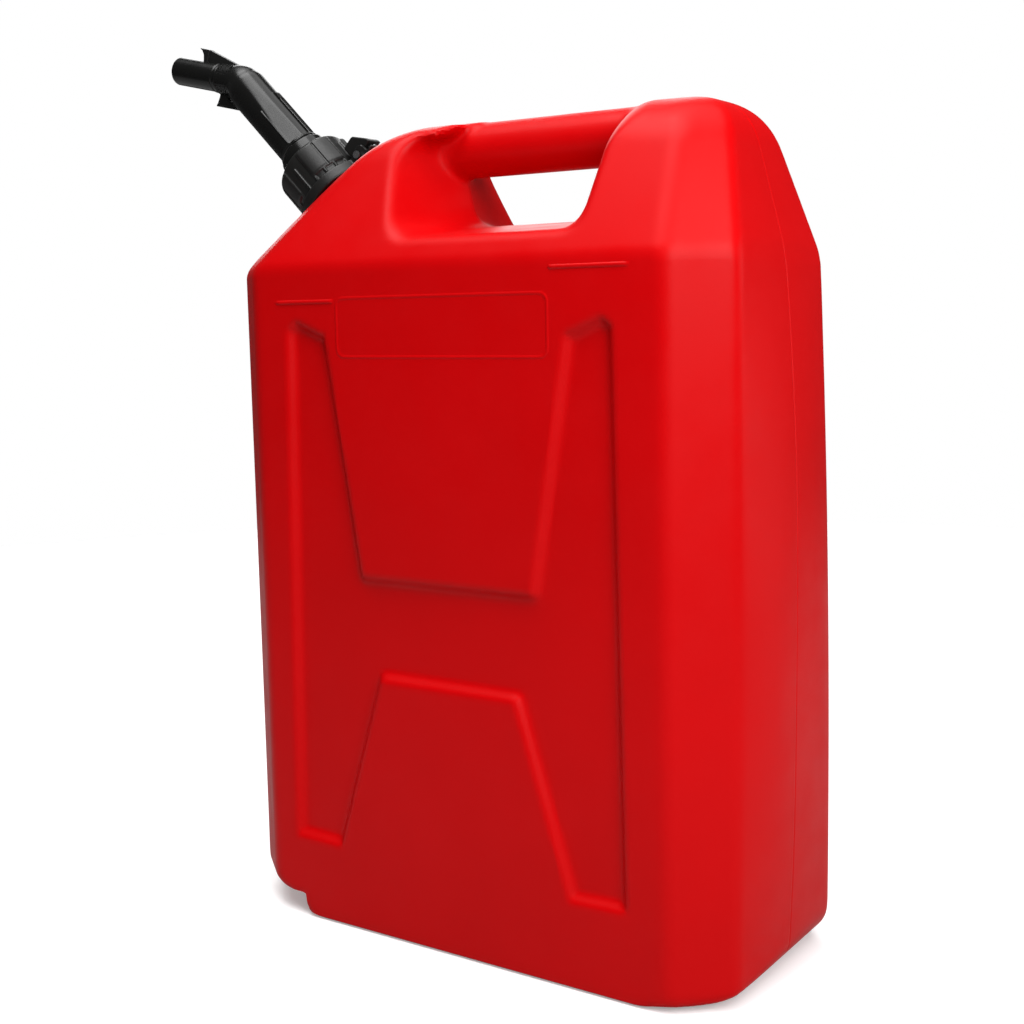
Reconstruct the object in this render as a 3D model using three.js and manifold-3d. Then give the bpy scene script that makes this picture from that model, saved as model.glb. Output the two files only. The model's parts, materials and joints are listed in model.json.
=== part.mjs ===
// Twenty-litre blow-moulded jerry can with a screwed-on, self-closing pouring spout.
// Millimetres, +Z up. The origin is the middle of the base, the broad faces look along -Y and +Y,
// and the spout leans out towards -X.

import * as THREE from 'three';
import Module from 'manifold-3d';
import { ConvexGeometry } from 'three/addons/geometries/ConvexGeometry.js';
import { mergeVertices } from 'three/addons/utils/BufferGeometryUtils.js';

const wasm = await Module();
wasm.setup();

// ---------------------------------------------------------------- driving dimensions

const GAP = 0.3;                       // air left between pieces that touch
const OVER = 40;                       // how far a cutting tool runs past what it cuts

const can = {
  halfWidth: 172,                      // across the narrow sides, at their edges
  halfDepth: 79,                       // across the broad faces
  chamferX: 27,                        // upright corner chamfers
  chamferY: 25,
  shoulder: 404,                       // crease where the roof starts
  top: 488,                            // top of the handle posts
  wall: 2.5,
  sideRidge: 11,                       // how far a narrow side swells at its middle
  widest: 195,                         // height of the widest place
  cornerRadius: 26,                    // bottom corners, seen from the front
  hemRadius: 8,                        // bottom edges of the broad faces
  domeRadius: 31,                      // top edges of the roof
  domeRight: 128,                      // where the top starts to round off towards +X
};
const roof = {
  frontLean: 0.5,                      // inward travel per millimetre of height
  rightLean: 0.266,
  rightHipLean: 0.454,
  leftHipLean: 0.98,
  leftTilt: THREE.MathUtils.degToRad(46),   // slope of the side that carries the neck
};
const step = { x: -114.5, height: 14 };     // the base is cut back under the spout side
const grip = {
  barRadius: 15.9, barHeight: 471.5, barStart: -63, barEnd: 111,
  left: -31.7, right: 71.6, floor: 426.6,   // throat of the finger hole at the parting plane
  leftDraft: 0.27, rightDraft: 0.3, floorDraft: 0.122,
};
const panel = {                             // recessed H in each broad face
  depth: 4.6, outer: 117.6, bottom: 52.7, crossLow: 166.2, crossHigh: 222, top: 374,
};
const neck = {
  height: 447.5,                       // height of the neck's root above the base
  outer: 20.6, bore: 18.6, length: 26.5,
  seat: 30,                            // where the spout's flange rests, on top of the gasket
  beadRadius: 1.1, pitch: 5, turns: 2, threadStart: 12,
};
const basket = { rimRadius: 18.2, outer: 16.4, inner: 15, sheet: 1.4, depth: 12, slots: 8, slotHalf: 1.6 };
const collar = {
  bottom: 9, top: 37, bore: 22.7, skirt: 24.6, hole: 17.2, topWall: 3.6,
  grip: 26, grips: 4, gripHalfWidth: 12.1,    // raised grips round the skirt
};
const spout = {
  elbow: 120.2,                        // from the can's slope to the crossing of the two axes
  bend: THREE.MathUtils.degToRad(31),
  bendRadius: 30,
  tube: 13.7, tubeBore: 11, throat: 9, hub: 16.6, hubTop: 49, flange: 21.8, flangeWall: 2.7,
  mouth: 11.2, mouthLength: 17, mouthBore: 9.8, slideBore: 8.6,
  slotEnd: 3.5, slotHalf: 2.4, slotRoot: 8.4,
  ventX: 8.2, ventOuter: 2.2, ventInner: 1.3, ventEnd: 88,
};
const nozzle = {
  travel: 6, tip: 9, guide: 8.2, bore: 6, end: 58.8, lip: 7.4, seat: 53.9, seatBore: 4.6, springStop: 28,
  sealRadius: 7.7, sealWire: 0.6, sealHeight: 2.1,
};
const hook = {
  plate: 4, height: 18.3, tip: 42, heel: 33, rear: 4.8, ringLow: 10, finRear: -1.6, finFront: 19.2,
};
const plug = { radius: 7, stem: 1.6, anchor: 2.3, anchorLow: -10.4, sealWire: 0.8 };
const spring = { radius: 4.9, low: -4.7, pitch: 4, turns: 8, wire: 0.55 };
const lock = {
  inner: 21.2, outer: 28.4, bottom: 0.6, top: 8.2,
  pinX: 33, pinZ: 5.6, pinRadius: 1.4, tabHalf: 6, earHalf: 9,
  floorWall: 1.4, floorEnd: 44, springX: 40.6,
};

// ---------------------------------------------------------------- materials

const plastic = (color, roughness) => new THREE.MeshStandardMaterial({ color, roughness, metalness: 0 });
const red = plastic(0xc80d0d, 0.45);
const black = plastic(0x1b1b1c, 0.5);
const softBlack = plastic(0x222224, 0.7);
const rubber = plastic(0x2b2b2b, 0.85);
const green = plastic(0x2f5f4a, 0.8);
const white = plastic(0xe4e2da, 0.6);
const steel = new THREE.MeshStandardMaterial({ color: 0xb9bcc0, roughness: 0.3, metalness: 1 });

// ---------------------------------------------------------------- solids

function solid(geometry) {
  const bare = geometry.index ? geometry.toNonIndexed() : geometry.clone();
  bare.deleteAttribute('normal');
  bare.deleteAttribute('uv');
  const merged = mergeVertices(bare, 1e-4);
  return new wasm.Manifold(new wasm.Mesh({
    numProp: 3,
    vertProperties: new Float32Array(merged.attributes.position.array),
    triVerts: new Uint32Array(merged.index.array),
  }));
}

function geometryOf(body) {
  const { vertProperties, triVerts } = body.getMesh();
  const geometry = new THREE.BufferGeometry();
  geometry.setAttribute('position', new THREE.BufferAttribute(vertProperties, 3));
  geometry.setIndex(new THREE.BufferAttribute(triVerts, 1));
  return geometry;
}

function piece(name, body, material) {
  const mesh = new THREE.Mesh(geometryOf(body), material);
  mesh.name = name;
  return mesh;
}

// A body of revolution about Z. The profile is a closed loop of [radius, z] pairs.
function turned(profile, segments = 40) {
  const loop = [...profile, profile[0]].map(([r, z]) => new THREE.Vector2(r, z));
  const geometry = new THREE.LatheGeometry(loop, segments);
  geometry.rotateX(Math.PI / 2);
  const body = solid(geometry);
  return body.volume() > 0 ? body : solid(turnedInsideOut(geometry));
}

function turnedInsideOut(geometry) {
  const flipped = geometry.toNonIndexed();
  const at = flipped.attributes.position;
  const a = new THREE.Vector3();
  const b = new THREE.Vector3();
  for (let i = 0; i < at.count; i += 3) {
    a.fromBufferAttribute(at, i + 1);
    b.fromBufferAttribute(at, i + 2);
    at.setXYZ(i + 1, b.x, b.y, b.z);
    at.setXYZ(i + 2, a.x, a.y, a.z);
  }
  return flipped;
}

function rod(radius, low, high, segments) {
  return turned([[0, low], [radius, low], [radius, high], [0, high]], segments);
}

function ring(inner, outer, low, high) {
  return turned([[inner, low], [outer, low], [outer, high], [inner, high]]);
}

function box(low, high) {
  const size = high.map((value, i) => value - low[i]);
  const geometry = new THREE.BoxGeometry(...size);
  geometry.translate(...low.map((value, i) => value + size[i] / 2));
  return solid(geometry);
}

// A plate standing in the XZ plane, from an outline of [x, z] pairs, between two values of Y.
function plate(outline, lowY, highY) {
  const shape = new THREE.Shape(outline.map(([x, z]) => new THREE.Vector2(x, z)));
  const geometry = new THREE.ExtrudeGeometry(shape, { depth: highY - lowY, bevelEnabled: false });
  geometry.rotateX(Math.PI / 2);
  geometry.translate(0, highY, 0);
  return solid(geometry);
}

class Helix extends THREE.Curve {
  constructor(radius, low, pitch, turns) {
    super();
    Object.assign(this, { radius, low, pitch, turns });
  }

  getPoint(t, target = new THREE.Vector3()) {
    const angle = t * this.turns * 2 * Math.PI;
    return target.set(
      this.radius * Math.cos(angle),
      this.radius * Math.sin(angle),
      this.low + this.pitch * this.turns * t,
    );
  }
}

// A round wire or bead wound on a helix about Z.
function coil(radius, low, pitch, turns, wire, stepsPerTurn = 24, sides = 5) {
  const section = new THREE.Shape();
  for (let i = 0; i < sides; i += 1) {
    const angle = (i * 2 * Math.PI) / sides;
    const corner = [wire * Math.cos(angle), wire * Math.sin(angle)];
    if (i === 0) section.moveTo(...corner);
    else section.lineTo(...corner);
  }
  return solid(new THREE.ExtrudeGeometry(section, {
    steps: Math.round(stepsPerTurn * turns),
    bevelEnabled: false,
    extrudePath: new Helix(radius, low, pitch, turns),
  }));
}

function oRing(major, minor, height) {
  const geometry = new THREE.TorusGeometry(major, minor, 6, 28);
  geometry.translate(0, 0, height);
  return solid(geometry);
}

// The convex body inside a set of planes, each [nx, ny, nz, point on it], moved inwards by inset.
function convex(planes, inset) {
  const flat = planes.map(([nx, ny, nz, point]) => {
    const normal = new THREE.Vector3(nx, ny, nz).normalize();
    return { normal, offset: normal.dot(new THREE.Vector3(...point)) - inset };
  });
  const corners = [];
  for (let i = 0; i < flat.length; i += 1) {
    for (let j = i + 1; j < flat.length; j += 1) {
      for (let k = j + 1; k < flat.length; k += 1) {
        const corner = crossing(flat[i], flat[j], flat[k]);
        if (corner && flat.every((f) => f.normal.dot(corner) < f.offset + 1e-6)) corners.push(corner);
      }
    }
  }
  return solid(new ConvexGeometry(corners));
}

function crossing(a, b, c) {
  const bc = new THREE.Vector3().crossVectors(b.normal, c.normal);
  const size = a.normal.dot(bc);
  if (Math.abs(size) < 1e-6) return null;
  return bc.multiplyScalar(a.offset)
    .addScaledVector(new THREE.Vector3().crossVectors(c.normal, a.normal), b.offset)
    .addScaledVector(new THREE.Vector3().crossVectors(a.normal, b.normal), c.offset)
    .divideScalar(size);
}

// A plane that touches a round edge: the edge runs along Y (or X) through centre, seen at an angle.
function tangent(axis, centre, radius, angle) {
  const across = Math.cos(angle);
  const up = Math.sin(angle);
  const normal = axis === 'y' ? [across, 0, up] : [0, across, up];
  return [...normal, centre.map((value, i) => value + radius * normal[i])];
}

const degrees = THREE.MathUtils.degToRad;
function mirrored(planes) {
  return planes.flatMap(([x, y, z, p]) => [[x, y, z, p], [x, -y, z, [p[0], -p[1], p[2]]]]);
}

// ---------------------------------------------------------------- can body

function canPlanes() {
  const { halfWidth: w, halfDepth: d, chamferX: a, chamferY: b, shoulder, top } = can;
  const { cornerRadius, hemRadius, domeRadius, domeRight, sideRidge, widest } = can;
  const edge = [w, -(d - b), shoulder];
  const leftEdge = [-w, -(d - b), shoulder];
  const ridge = sideRidge / (d - b);
  const upper = (sideRidge - 1.5) / (shoulder - widest);
  const lower = (sideRidge - 6.5) / (widest - 15);
  const tilt = roof.leftTilt;
  const rise = top - domeRadius;
  const slopeIn = w * Math.sin(tilt) + shoulder * Math.cos(tilt);
  const domeLeft = (rise * Math.cos(tilt) + domeRadius - slopeIn) / Math.sin(tilt);
  const frontSize = Math.hypot(1, roof.frontLean);
  const frontDome = (d + roof.frontLean * (shoulder - rise) - domeRadius * frontSize);
  const planes = [
    [0, -1, 0, [0, -d, 0]],
    [b, -a, 0, edge],
    [-b, -a, 0, leftEdge],
    [1, -ridge, 0, edge],
    [-1, -ridge, 0, leftEdge],
    [0, -1, roof.frontLean, [0, -d, shoulder]],
    [b / Math.hypot(a, b), -a / Math.hypot(a, b), roof.rightHipLean, edge],
    [-b / Math.hypot(a, b), -a / Math.hypot(a, b), roof.leftHipLean, leftEdge],
    tangent('x', [0, -d + hemRadius, hemRadius], hemRadius, degrees(225)),
    tangent('x', [0, -frontDome, rise], domeRadius, degrees(120)),
    tangent('x', [0, -frontDome, rise], domeRadius, degrees(140)),
  ];
  for (const side of [1, -1]) {
    const lift = side > 0 ? 0 : step.height;
    const hub = [side * (w + 2 - cornerRadius), 0, cornerRadius + lift];
    planes.push([side, 0, upper, [side * (w + 1.5), 0, shoulder]]);
    planes.push([side, 0, -lower, [side * (w + 6.5), 0, 15]]);
    planes.push(tangent('y', hub, cornerRadius, degrees(side > 0 ? -25 : 205)));
    planes.push(tangent('y', hub, cornerRadius, degrees(side > 0 ? -55 : 235)));
  }
  return [
    ...mirrored(planes),
    [0, 0, -1, [0, 0, 0]],
    [0, 0, 1, [0, 0, top]],
    [1, 0, roof.rightLean, [w + 1.5, 0, shoulder]],
    [-Math.sin(tilt), 0, Math.cos(tilt), [-w, 0, shoulder]],
    tangent('y', [domeRight, 0, rise], domeRadius, degrees(60)),
    tangent('y', [domeRight, 0, rise], domeRadius, degrees(35)),
    tangent('y', [domeLeft, 0, rise], domeRadius, degrees(105)),
    tangent('y', [domeLeft, 0, rise], domeRadius, degrees(122)),
  ];
}

// The finger hole: two drafted wedges that meet at the parting plane, open upwards.
function gripSpace(grow) {
  const reach = can.halfDepth + 5;
  const section = (y, depth) => {
    const left = grip.left - grip.leftDraft * depth - grow;
    const right = grip.right + grip.rightDraft * depth + grow;
    const floor = grip.floor - grip.floorDraft * depth - grow;
    return [
      new THREE.Vector3(left, y, floor), new THREE.Vector3(right, y, floor),
      new THREE.Vector3(left, y, can.top + OVER), new THREE.Vector3(right, y, can.top + OVER),
    ];
  };
  const middle = section(0, 0);
  const front = solid(new ConvexGeometry([...section(-reach, reach), ...middle]));
  const back = solid(new ConvexGeometry([...section(reach, reach), ...middle]));
  return front.add(back);
}

// The recessed H of both broad faces, cut to depth; wider and deeper by grow for the inner wall.
function panelSpace(grow) {
  const { outer, bottom, crossLow, crossHigh, top } = panel;
  const half = [
    [48 - grow, crossLow - grow], [84 - grow, bottom - grow], [outer + grow, bottom - grow],
    [outer - 2 + grow, top - 8 + grow], [outer - 9, top + grow], [86 - grow, top - 10],
    [59 - grow, crossHigh + grow],
  ];
  const outline = [...half, ...half.map(([x, z]) => [-x, z]).reverse()];
  const skin = can.halfDepth - panel.depth - grow;
  const edge = can.halfDepth + OVER;
  return plate(outline, -edge, -skin).add(plate(outline, skin, edge));
}

const stepSpace = (grow) => box([-can.halfWidth - OVER, -can.halfDepth - OVER, -OVER],
  [step.x + grow, can.halfDepth + OVER, step.height + grow]);

const neckRoot = new THREE.Vector3(
  -can.halfWidth + (neck.height - can.shoulder) / Math.tan(roof.leftTilt), 0, neck.height,
);

function placedOnSlope(body) {
  const matrix = new THREE.Matrix4().makeRotationY(-roof.leftTilt).setPosition(neckRoot);
  return body.transform(matrix.elements);
}

function along(body, low, high) {
  return body.transform([0, 0, -1, 0, 0, 1, 0, 0, 1, 0, 0, 0, low, 0, high, 1]);
}

function canBody() {
  const bar = (radius, low, high) => along(rod(radius, 0, high - low, 32), low, grip.barHeight);
  const thread = coil(neck.outer + 0.1, neck.threadStart, neck.pitch, neck.turns, neck.beadRadius);
  const finish = rod(neck.outer, -4, neck.length).add(thread);
  const outer = convex(canPlanes(), 0)
    .subtract(gripSpace(0))
    .add(bar(grip.barRadius, grip.barStart, grip.barEnd))
    .subtract(panelSpace(0))
    .subtract(stepSpace(0))
    .add(placedOnSlope(finish));
  const inner = convex(canPlanes(), can.wall)
    .subtract(gripSpace(can.wall))
    .subtract(panelSpace(can.wall))
    .subtract(stepSpace(can.wall))
    .add(bar(grip.barRadius - can.wall, grip.barStart - 4, grip.barEnd + 4))
    .add(placedOnSlope(rod(neck.bore, -can.wall - 2, neck.length + OVER)));
  return piece('can_body', outer.subtract(inner), red);
}

// ---------------------------------------------------------------- closure, in the neck's frame

function neckGasket() {
  return piece('neck_gasket', ring(neck.bore - 0.4, neck.outer + 0.6, neck.length + GAP, neck.seat), green);
}

function strainer() {
  const { rimRadius, outer, inner, sheet, depth, slots, slotHalf } = basket;
  const rim = neck.length - 0.5;
  const shell = turned([
    [inner, rim], [rimRadius, rim], [rimRadius, rim - sheet], [outer, rim - sheet],
    [outer, -depth], [0, -depth], [0, sheet - depth], [inner, sheet - depth],
  ]);
  const slot = box([inner / 3, -slotHalf, -depth + 5], [OVER, slotHalf, rim - 6]);
  let cut = shell;
  for (let i = 0; i < slots; i += 1) cut = cut.subtract(slot.rotate([0, 0, (i * 360) / slots]));
  return piece('strainer_basket', cut, white);
}

function ringNut() {
  const { bottom, top, bore, skirt, hole, topWall, grip: wide, grips, gripHalfWidth } = collar;
  const ceiling = top - topWall;
  const root = skirt - 0.6;
  let nut = turned([
    [bore, bottom], [skirt, bottom], [skirt, top - 2], [skirt - 2, top],
    [hole, top], [hole, ceiling], [bore, ceiling],
  ]);
  const band = turned([
    [root, bottom + 1], [wide, bottom + 1], [wide, top - 2.4], [wide - 1.6, top - 0.8], [root, top - 2.2],
  ]);
  const reach = (gripHalfWidth * OVER) / wide;
  const wedge = plate([[0, 0], [OVER, -reach], [OVER, reach]], 0, OVER).rotate([90, 0, 0]);
  for (let i = 0; i < grips; i += 1) {
    const middle = ((i + 0.5) * 360) / grips;
    nut = nut.add(band.intersect(wedge.rotate([0, 0, middle])));
  }
  const { threadStart, pitch, turns, beadRadius } = neck;
  const thread = coil(bore - 0.1, threadStart - pitch / 2, pitch, turns, beadRadius);
  const room = rod(bore + 1, bottom + 0.2, ceiling - 0.2);
  return piece('spout_collar', nut.add(thread.intersect(room)), black);
}

function lockRing() {
  const { inner, outer, bottom, top, earHalf, tabHalf, pinX, pinZ, pinRadius } = lock;
  const root = (inner + outer) / 2;
  const floor = bottom + lock.floorWall;
  const earOutline = [[root, bottom], [40, bottom], [39, top], [36, top + 2], [root, top]];
  const ear = (low, high) => plate(earOutline, low, high);
  const body = ring(inner, outer, bottom, top)
    .add(box([root, -earHalf, bottom], [lock.floorEnd, earHalf, floor]))
    .add(ear(-earHalf, -tabHalf - GAP))
    .add(ear(tabHalf + GAP, earHalf))
    .subtract(box([outer - 1.4, -tabHalf - GAP, floor], [OVER + 10, tabHalf + GAP, OVER]))
    .subtract(rod(inner, -OVER, OVER))
    .subtract(rod(pinRadius + GAP, -OVER, OVER, 24).rotate([90, 0, 0]).translate([pinX, 0, pinZ]));
  return piece('lock_ring', body, black);
}

function lockTab() {
  const { pinX, pinZ, pinRadius, tabHalf } = lock;
  const outline = [[27.6, 10], [26.7, 12], [26.7, 18.6], [27.6, 19.5], [35.6, 19.5], [37, 18.8],
    [43.4, 9.4], [43.8, 8], [43.8, 6.4], [37, 6.4], [35.5, 3.2], [31, 3.2], [30, 5]];
  const body = plate(outline, -tabHalf, tabHalf)
    .subtract(rod(pinRadius + GAP, -OVER, OVER, 24).rotate([90, 0, 0]).translate([pinX, 0, pinZ]));
  return piece('lock_tab', body, black);
}

function lockPin() {
  const half = lock.earHalf + 0.8;
  const shank = rod(lock.pinRadius, -half, half, 24);
  const head = rod(lock.pinRadius + 1, half, half + 1, 24);
  const body = shank.add(head).rotate([90, 0, 0]).translate([lock.pinX, 0, lock.pinZ]);
  return piece('lock_pin', body, steel);
}

function lockSpring() {
  const wire = 0.3;
  const low = lock.bottom + lock.floorWall + GAP + wire;
  const body = coil(2, low, 1.2, 2.6, wire, 14).translate([lock.springX, 0, 0]);
  return piece('lock_spring', body, steel);
}

// ---------------------------------------------------------------- spout

// A round bar along the spout's centre line: up the neck's axis, round the elbow, out of the mouth.
function bentBar(radiusAt, low, high) {
  const { elbow, bend, bendRadius } = spout;
  const tangentLength = bendRadius * Math.tan(bend / 2);
  const arcLength = bendRadius * bend;
  const stations = [low];
  const arcSteps = 6;
  for (let i = 0; i <= arcSteps; i += 1) stations.push(-arcLength / 2 + (arcLength * i) / arcSteps);
  stations.push(high);
  const segments = 32;
  const points = [];
  for (const station of stations) {
    const turn = THREE.MathUtils.clamp(station / arcLength + 0.5, 0, 1) * bend;
    const before = Math.min(station + arcLength / 2, 0);
    const after = Math.max(station - arcLength / 2, 0);
    const centre = new THREE.Vector3(
      -bendRadius * (1 - Math.cos(turn)) - after * Math.sin(bend), 0,
      elbow - tangentLength + before + bendRadius * Math.sin(turn) + after * Math.cos(bend),
    );
    const across = new THREE.Vector3(Math.cos(turn), 0, Math.sin(turn));
    const radius = radiusAt(station);
    for (let i = 0; i < segments; i += 1) {
      const angle = (i * 2 * Math.PI) / segments;
      points.push(centre.clone().addScaledVector(across, radius * Math.cos(angle))
        .add(new THREE.Vector3(0, radius * Math.sin(angle), 0)));
    }
    points.push(centre);
  }
  return solid(skinned(points, stations.length, segments));
}

// Triangles over rows of points, each row a closed loop followed by its centre.
function skinned(points, rows, segments) {
  const stride = segments + 1;
  const index = [];
  for (let i = 0; i < segments; i += 1) {
    const next = (i + 1) % segments;
    for (let row = 0; row < rows - 1; row += 1) {
      const low = row * stride;
      const high = low + stride;
      index.push(low + i, low + next, high + next, low + i, high + next, high + i);
    }
    const last = (rows - 1) * stride;
    index.push(segments, next, i, last + segments, last + i, last + next);
  }
  const geometry = new THREE.BufferGeometry();
  const flat = points.flatMap((p) => p.toArray());
  geometry.setAttribute('position', new THREE.Float32BufferAttribute(flat, 3));
  geometry.setIndex(index);
  return geometry;
}

// Moves a body from the nozzle's frame (Z out of the mouth, X up) into the neck's frame.
const atElbow = (body) => body.rotate([0, -THREE.MathUtils.radToDeg(spout.bend), 0])
  .translate([0, 0, spout.elbow]);

// Where the catch plate runs, swept over the nozzle's travel: a slot above and one below the mouth.
function catchSlots() {
  const { mouth, mouthLength, slotEnd, slotHalf, slotRoot } = spout;
  const skin = mouth + 0.1;
  const front = mouthLength + 1;
  const aboveLow = hook.rear - nozzle.travel - 0.7;
  const belowLow = hook.finRear - nozzle.travel - 1.8;
  const above = [
    [slotRoot, slotEnd], [skin, slotEnd], [skin, aboveLow], [OVER, aboveLow],
    [OVER, front], [slotRoot, front],
  ];
  const below = [
    [-slotRoot, slotEnd], [-skin - 0.3, slotEnd], [-skin - 0.3, slotEnd - 2.6],
    [-hook.height - 0.3, belowLow], [-OVER, belowLow], [-OVER, front], [-slotRoot, front],
  ];
  return plate(above, -slotHalf, slotHalf).add(plate(below, -slotHalf, slotHalf));
}

function spoutTube() {
  const { elbow, tube, tubeBore, throat, hub, hubTop, flange, flangeWall, mouth, mouthLength } = spout;
  const seat = neck.seat + GAP;
  const bead = tube + 1;                    // a rolled bead rings the tube just above its hub
  const base = turned([
    [0, seat], [flange, seat], [flange, seat + flangeWall], [hub, seat + flangeWall], [hub, hubTop - 1.5],
    [bead, hubTop], [bead, hubTop + 1.8], [tube - 0.2, hubTop + 2.6], [0, hubTop + 2.6],
  ]);
  const skin = bentBar((s) => (s > 6 ? mouth : tube), hubTop - elbow + 2, mouthLength + 0.1);
  const bores = [
    rod(tubeBore, seat - 1, elbow - 25.5),
    turned([[0, elbow - 26.5], [tubeBore, elbow - 25.6], [throat, elbow - 21.5], [throat, elbow - 4.5],
      [0, elbow - 4.5]]),
    atElbow(rod(spout.slideBore, -7, mouthLength + 2)),
    atElbow(rod(spout.mouthBore, spout.slotEnd - 0.3, mouthLength + 2)),
    atElbow(rod(2.6, -11, -6)),
    atElbow(catchSlots()),
  ];
  const body = bores.reduce((left, bore) => left.subtract(bore), base.add(skin));
  return piece('spout_tube', body, black);
}

function ventTube() {
  const { ventX, ventOuter, ventInner, ventEnd } = spout;
  const low = neck.seat;
  const body = turned([[ventInner, low], [ventOuter, low], [ventOuter, ventEnd], [ventInner, ventEnd]], 20);
  return piece('vent_tube', body.translate([ventX, 0, 0]), white);
}

// ---------------------------------------------------------------- nozzle, in its own frame

function nozzleTip() {
  const { tip, guide, bore, end, lip, seat, seatBore, springStop, sealHeight, sealRadius } = nozzle;
  const shoulder = spout.mouthLength + GAP;
  const groove = sealRadius - 0.9;
  const profile = [
    [bore, 0], [guide, 0], [guide, sealHeight - 0.9], [groove, sealHeight - 0.9],
    [groove, sealHeight + 0.9], [guide, sealHeight + 0.9], [guide, shoulder],
    [tip, shoulder], [tip, end - 1], [tip - 1, end], [lip, end], [lip, seat], [seatBore, seat],
    [seatBore, springStop], [bore, springStop],
  ];
  return piece('nozzle_tip', turned(profile, 36), black);
}

function nozzleSeal() {
  const { sealRadius, sealWire, sealHeight } = nozzle;
  return piece('nozzle_seal', oRing(sealRadius, sealWire, sealHeight), rubber);
}

function valveStem() {
  const disc = turned([[0, -6.7], [5.3, -6.7], [5.3, -5.6], [0, -5.6]], 24);
  const hole = rod(1.1, -OVER, OVER, 12).translate([3.6, 0, 0]);
  let cut = disc;
  for (let i = 0; i < 3; i += 1) cut = cut.subtract(hole.rotate([0, 0, i * 120]));
  const body = cut.add(rod(plug.stem, -6.4, nozzle.seat + 1.9, 20))
    .add(rod(plug.anchor, plug.anchorLow, -6.4, 20));
  return piece('valve_stem', body, white);
}

function valvePlug() {
  const { radius, anchor } = plug;
  const back = nozzle.seat + 2.2;
  const face = nozzle.end - 0.2;
  const profile = [
    [0, back], [radius, back], [radius, face - 0.7], [radius - 0.7, face],
    [anchor + 0.1, face], [anchor - 0.3, face - 0.4], [0, face - 0.4],
  ];
  return piece('valve_plug', turned(profile, 32), black);
}

function plugSeal() {
  const middle = (plug.radius + nozzle.seatBore) / 2 + 0.1;
  return piece('plug_seal', oRing(middle, plug.sealWire, nozzle.seat + 1.1), rubber);
}

function valveSpring() {
  const { radius, low, pitch, turns, wire } = spring;
  return piece('valve_spring', coil(radius, low, pitch, turns, wire, 12), steel);
}

// One plate on a split ring: a horn over the nozzle that hooks a tank's rim, and a fin below it.
function tankCatch() {
  const { plate: thick, height, tip, heel, rear, ringLow, finRear, finFront } = hook;
  const clear = spout.mouth + 0.4;
  const skin = nozzle.tip + GAP;
  const ringHigh = spout.mouthLength - 0.1;
  const ringInner = nozzle.guide + GAP;
  const inside = ringInner + 0.5;
  const crest = height - 1.2;
  const front = [];
  const curl = 5;
  for (let i = 1; i <= curl; i += 1) {
    const angle = (i / curl) * (Math.PI / 2);
    front.push([crest - (crest - skin) * Math.sin(angle), tip - 5.2 * Math.sin(angle) ** 0.5]);
  }
  const horn = [
    [inside, ringLow], [clear, ringLow], [clear, rear], [height, heel], [height + 0.2, tip],
    ...front, [skin, ringHigh + 0.5], [inside, ringHigh + 0.5],
  ];
  const fin = [
    [-inside, ringLow], [-clear, ringLow], [-clear - 0.4, ringLow - 0.8], [-height, finRear],
    [-height, finFront], [-clear, ringHigh + 0.5], [-inside, ringHigh + 0.5],
  ];
  const body = ring(ringInner, ringInner + 0.9, ringLow, ringHigh)
    .add(plate(horn, -thick / 2, thick / 2))
    .add(plate(fin, -thick / 2, thick / 2));
  return piece('tank_catch', body, softBlack);
}

// ---------------------------------------------------------------- assembly

const jerryCan = new THREE.Group();
jerryCan.add(canBody());

const onNeck = new THREE.Group();
onNeck.position.copy(neckRoot);
onNeck.rotation.y = -roof.leftTilt;
onNeck.add(lockRing(), lockTab(), lockPin(), lockSpring());
onNeck.add(strainer(), neckGasket(), ringNut(), spoutTube(), ventTube());
jerryCan.add(onNeck);

const onNozzle = new THREE.Group();
onNozzle.position.z = spout.elbow;
onNozzle.rotation.y = -spout.bend;
onNozzle.add(nozzleTip(), nozzleSeal(), tankCatch());
onNozzle.add(valveStem(), valvePlug(), plugSeal(), valveSpring());
onNeck.add(onNozzle);

export default jerryCan;
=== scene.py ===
"""Looks for the twenty-litre jerry can: the moulded can and the black plastic parts as smooth solids, with
procedural materials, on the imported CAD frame.

Every detailed piece is a solid given by a field: a function of x, y, z in millimetres that is negative
inside. surface() turns a field into a closed mesh, so edges are rounded as moulded plastic is."""

import json
import math

import bpy
import numpy as np
from mathutils import Matrix, Vector


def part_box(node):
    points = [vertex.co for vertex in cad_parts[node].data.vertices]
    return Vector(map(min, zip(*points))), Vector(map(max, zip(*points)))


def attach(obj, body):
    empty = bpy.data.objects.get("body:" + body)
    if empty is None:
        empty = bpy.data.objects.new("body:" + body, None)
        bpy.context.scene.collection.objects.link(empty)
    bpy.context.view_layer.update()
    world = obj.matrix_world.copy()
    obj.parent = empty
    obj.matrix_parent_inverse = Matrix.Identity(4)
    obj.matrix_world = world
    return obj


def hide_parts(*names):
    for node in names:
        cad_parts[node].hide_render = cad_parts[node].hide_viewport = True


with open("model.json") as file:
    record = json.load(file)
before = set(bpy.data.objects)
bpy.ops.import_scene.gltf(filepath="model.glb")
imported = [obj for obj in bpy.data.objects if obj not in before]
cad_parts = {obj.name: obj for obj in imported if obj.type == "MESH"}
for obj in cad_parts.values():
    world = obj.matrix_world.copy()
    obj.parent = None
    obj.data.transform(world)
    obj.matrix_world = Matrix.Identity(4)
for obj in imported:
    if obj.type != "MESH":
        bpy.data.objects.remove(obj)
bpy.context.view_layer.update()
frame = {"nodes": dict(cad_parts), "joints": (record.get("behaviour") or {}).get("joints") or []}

MM = 0.001
can_low, can_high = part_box("can_body")
joints = {joint["name"]: joint for joint in frame["joints"]}

# ---------------------------------------------------------------- sizes, in millimetres

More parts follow.
